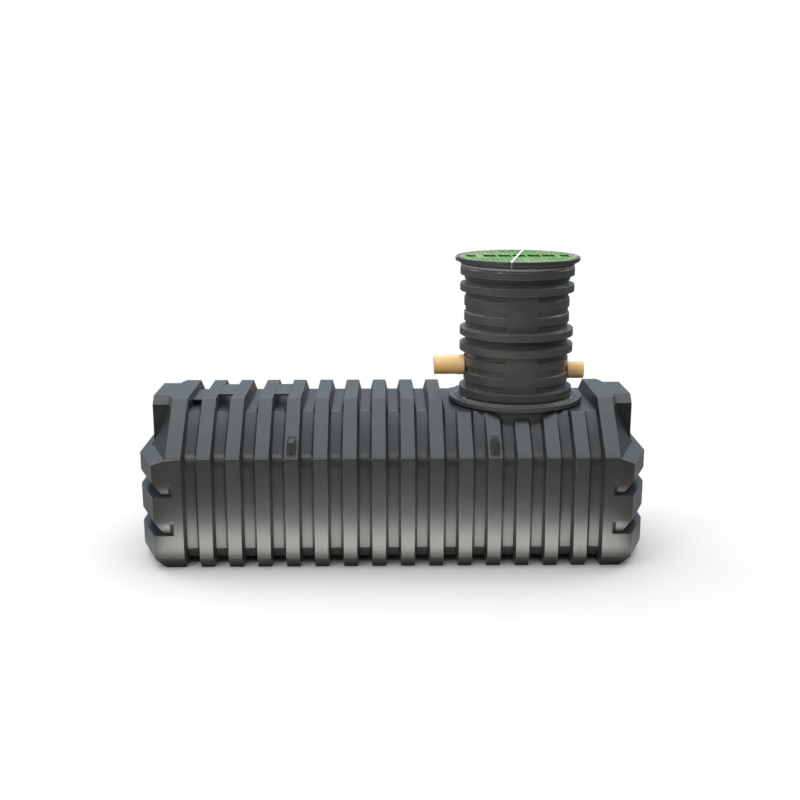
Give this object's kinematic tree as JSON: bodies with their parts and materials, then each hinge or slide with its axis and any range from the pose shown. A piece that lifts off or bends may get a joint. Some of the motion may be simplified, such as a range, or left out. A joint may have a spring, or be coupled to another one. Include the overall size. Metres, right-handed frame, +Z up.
{
  "type": "underground water tank",
  "caption": "Low ribbed plastic tank for burial, with canted ends, a ribbed access riser, a strapped-down round lid and two pipe stubs through the riser wall.",
  "frame": {"origin": "on the floor, at the middle of the barrel's length and width", "axes": "+X along the barrel towards the riser's end, +Y across the barrel away from the side seen first, +Z up"},
  "size_m": [3.24, 1.254, 1.904],
  "materials": {
    "tank_shell": "satin moulded polyethylene, dark grey",
    "riser": "satin moulded polyethylene, near black",
    "lid_frame": "matt moulded plastic, near black",
    "lid": "matt moulded plastic, green",
    "strap": "white plastic band",
    "pipe": "smooth PVC, orange-brown",
    "seal": "black rubber"
  },
  "bodies": {
    "root": {"barrel_ring_02": "tank_shell", "barrel_ring_03": "tank_shell", "barrel_ring_04": "tank_shell", "barrel_ring_05": "tank_shell", "barrel_ring_06": "tank_shell", "barrel_ring_07": "tank_shell", "barrel_ring_08": "tank_shell", "barrel_ring_09": "tank_shell", "barrel_ring_10": "tank_shell", "barrel_ring_11": "tank_shell", "barrel_ring_12": "tank_shell", "barrel_ring_13": "tank_shell", "barrel_ring_14": "tank_shell", "barrel_ring_15": "tank_shell", "end_left": "tank_shell", "end_right": "tank_shell", "inlet_pipe": "pipe", "inlet_seal": "seal", "lid": "lid", "lid_frame": "lid_frame", "lid_strap": "strap", "low_bridge": "tank_shell", "lug_back_left": "tank_shell", "lug_back_right": "tank_shell", "lug_front_left": "tank_shell", "lug_front_right": "tank_shell", "neck_collar": "tank_shell", "outlet_pipe": "pipe", "outlet_seal": "seal", "riser_flange": "riser", "riser_lower": "riser", "riser_top_ring": "riser", "riser_upper": "riser", "top_bridge_left": "tank_shell", "top_bridge_right": "tank_shell"}
  },
  "joints": []
}
